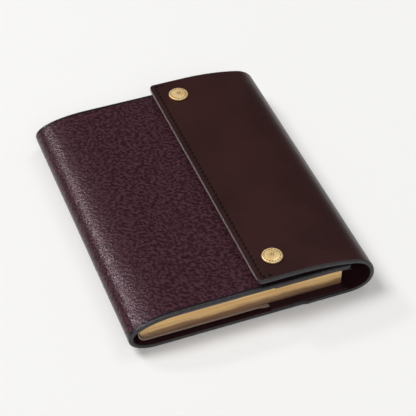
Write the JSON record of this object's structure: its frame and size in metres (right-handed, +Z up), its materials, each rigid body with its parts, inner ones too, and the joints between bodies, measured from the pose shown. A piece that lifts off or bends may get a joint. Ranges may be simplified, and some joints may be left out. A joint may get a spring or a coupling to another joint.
{
  "type": "leather journal with press-stud flap",
  "caption": "Leather journal with a wrap-over flap that closes on press studs, a rounded spine and fold, inside pockets, and a card-covered block of gilt-edged paper sections.",
  "frame": {"origin": "centre of the footprint, on the table that the closed journal's back cover lies on", "axes": "+X across the journal from the spine to the fold of the flap, +Y along the spine, +Z up from the table through the front cover"},
  "size_m": [0.1778, 0.2224, 0.0383],
  "materials": {
    "burgundy_leather": "pebbled, satin",
    "brown_leather": "fine grain, satin",
    "lining_leather": "smooth, matt",
    "pocket_leather": "fine grain, matt",
    "stiffener_board": "matt",
    "insert_card": "matt",
    "gilt_paper": "gilt edges",
    "spine_cloth": "open weave",
    "snap_brass": "brushed, lacquered",
    "snap_steel": "drawn wire"
  },
  "bodies": {
    "back": {"back_cover_leather": "burgundy_leather", "flap_root_leather": "brown_leather", "back_cover_lining": "lining_leather", "back_stiffener_board": "stiffener_board", "back_pocket": "pocket_leather", "insert_back_card": "insert_card", "insert_spine_cloth": "spine_cloth", "pages_1": "gilt_paper", "pages_2": "gilt_paper", "pages_3": "gilt_paper"},
    "spine": {"spine_leather": "burgundy_leather", "spine_lining": "lining_leather"},
    "front": {"front_cover_leather": "burgundy_leather", "front_cover_lining": "lining_leather", "front_stiffener_board": "stiffener_board", "front_pocket": "pocket_leather", "insert_front_card": "insert_card", "snap_stud_near": "snap_brass", "snap_stud_far": "snap_brass", "snap_post_near": "snap_brass", "snap_post_far": "snap_brass"},
    "fold_1": {"fold_leather_1": "brown_leather", "fold_lining_1": "lining_leather"},
    "fold_2": {"fold_leather_2": "brown_leather", "fold_lining_2": "lining_leather"},
    "fold_3": {"fold_leather_3": "brown_leather", "fold_lining_3": "lining_leather"},
    "fold_4": {"fold_leather_4": "brown_leather", "fold_lining_4": "lining_leather"},
    "flap": {"flap_leather": "brown_leather", "flap_lining": "lining_leather", "snap_cap_near": "snap_brass", "snap_cap_far": "snap_brass", "snap_socket_near": "snap_brass", "snap_socket_far": "snap_brass", "snap_spring_near": "snap_steel", "snap_spring_far": "snap_steel"},
    "pages_4": {"pages_4": "gilt_paper"},
    "pages_5": {"pages_5": "gilt_paper"},
    "pages_6": {"pages_6": "gilt_paper"},
    "pages_7": {"pages_7": "gilt_paper"},
    "pages_8": {"pages_8": "gilt_paper"}
  },
  "joints": [
    {"name": "fold_1_hinge", "type": "hinge", "parent": "back", "child": "fold_1", "pos_m": [0.07, 0, 0], "axis": [0, 1, 0], "range_deg": [0, 6.34]},
    {"name": "fold_2_hinge", "type": "hinge", "parent": "fold_1", "child": "fold_2", "pos_m": [0.0824, 0, 0.00275], "axis": [0, 1, 0], "range_deg": [0, 46.15]},
    {"name": "fold_3_hinge", "type": "hinge", "parent": "fold_2", "child": "fold_3", "pos_m": [0.08885, 0, 0.0131], "axis": [0, 1, 0], "range_deg": [0, 52.44]},
    {"name": "fold_4_hinge", "type": "hinge", "parent": "fold_3", "child": "fold_4", "pos_m": [0.08461, 0, 0.02485], "axis": [0, 1, 0], "range_deg": [0, 42.14]},
    {"name": "flap_hinge", "type": "hinge", "parent": "fold_4", "child": "flap", "pos_m": [0.0735, 0, 0.0309], "axis": [0, 1, 0], "range_deg": [0, 24.93]},
    {"name": "spine_hinge", "type": "hinge", "parent": "back", "child": "spine", "pos_m": [-0.07981, 0, 0.00187], "axis": [0, -1, 0], "range_deg": [0, 90]},
    {"name": "front_hinge", "type": "hinge", "parent": "spine", "child": "front", "pos_m": [-0.06688, 0, 0.02614], "axis": [0, -1, 0], "range_deg": [0, 90]},
    {"name": "pages_4_hinge", "type": "hinge", "parent": "back", "child": "pages_4", "pos_m": [-0.07894, 0, 0.01165], "axis": [0, -1, 0], "range_deg": [0, 170]},
    {"name": "pages_5_hinge", "type": "hinge", "parent": "back", "child": "pages_5", "pos_m": [-0.07894, 0, 0.01345], "axis": [0, -1, 0], "range_deg": [0, 170]},
    {"name": "pages_6_hinge", "type": "hinge", "parent": "back", "child": "pages_6", "pos_m": [-0.07864, 0, 0.01525], "axis": [0, -1, 0], "range_deg": [0, 170]},
    {"name": "pages_7_hinge", "type": "hinge", "parent": "back", "child": "pages_7", "pos_m": [-0.07767, 0, 0.01705], "axis": [0, -1, 0], "range_deg": [0, 170]},
    {"name": "pages_8_hinge", "type": "hinge", "parent": "back", "child": "pages_8", "pos_m": [-0.07605, 0, 0.01885], "axis": [0, -1, 0], "range_deg": [0, 170]}
  ],
  "couplings": [
    {"joint": "fold_1_hinge", "follows": "fold_3_hinge", "ratio": 0.1209},
    {"joint": "fold_2_hinge", "follows": "fold_3_hinge", "ratio": 0.87991},
    {"joint": "fold_4_hinge", "follows": "fold_3_hinge", "ratio": 0.80349},
    {"joint": "flap_hinge", "follows": "fold_3_hinge", "ratio": 0.47535},
    {"joint": "spine_hinge", "follows": "fold_3_hinge", "ratio": 0.12966},
    {"joint": "front_hinge", "follows": "fold_3_hinge", "ratio": 0.12966},
    {"joint": "pages_4_hinge", "follows": "fold_3_hinge", "ratio": 0.043856},
    {"joint": "pages_5_hinge", "follows": "fold_3_hinge", "ratio": 0.087711},
    {"joint": "pages_6_hinge", "follows": "fold_3_hinge", "ratio": 0.13157},
    {"joint": "pages_7_hinge", "follows": "fold_3_hinge", "ratio": 0.17542},
    {"joint": "pages_8_hinge", "follows": "fold_3_hinge", "ratio": 0.21928}
  ]
}
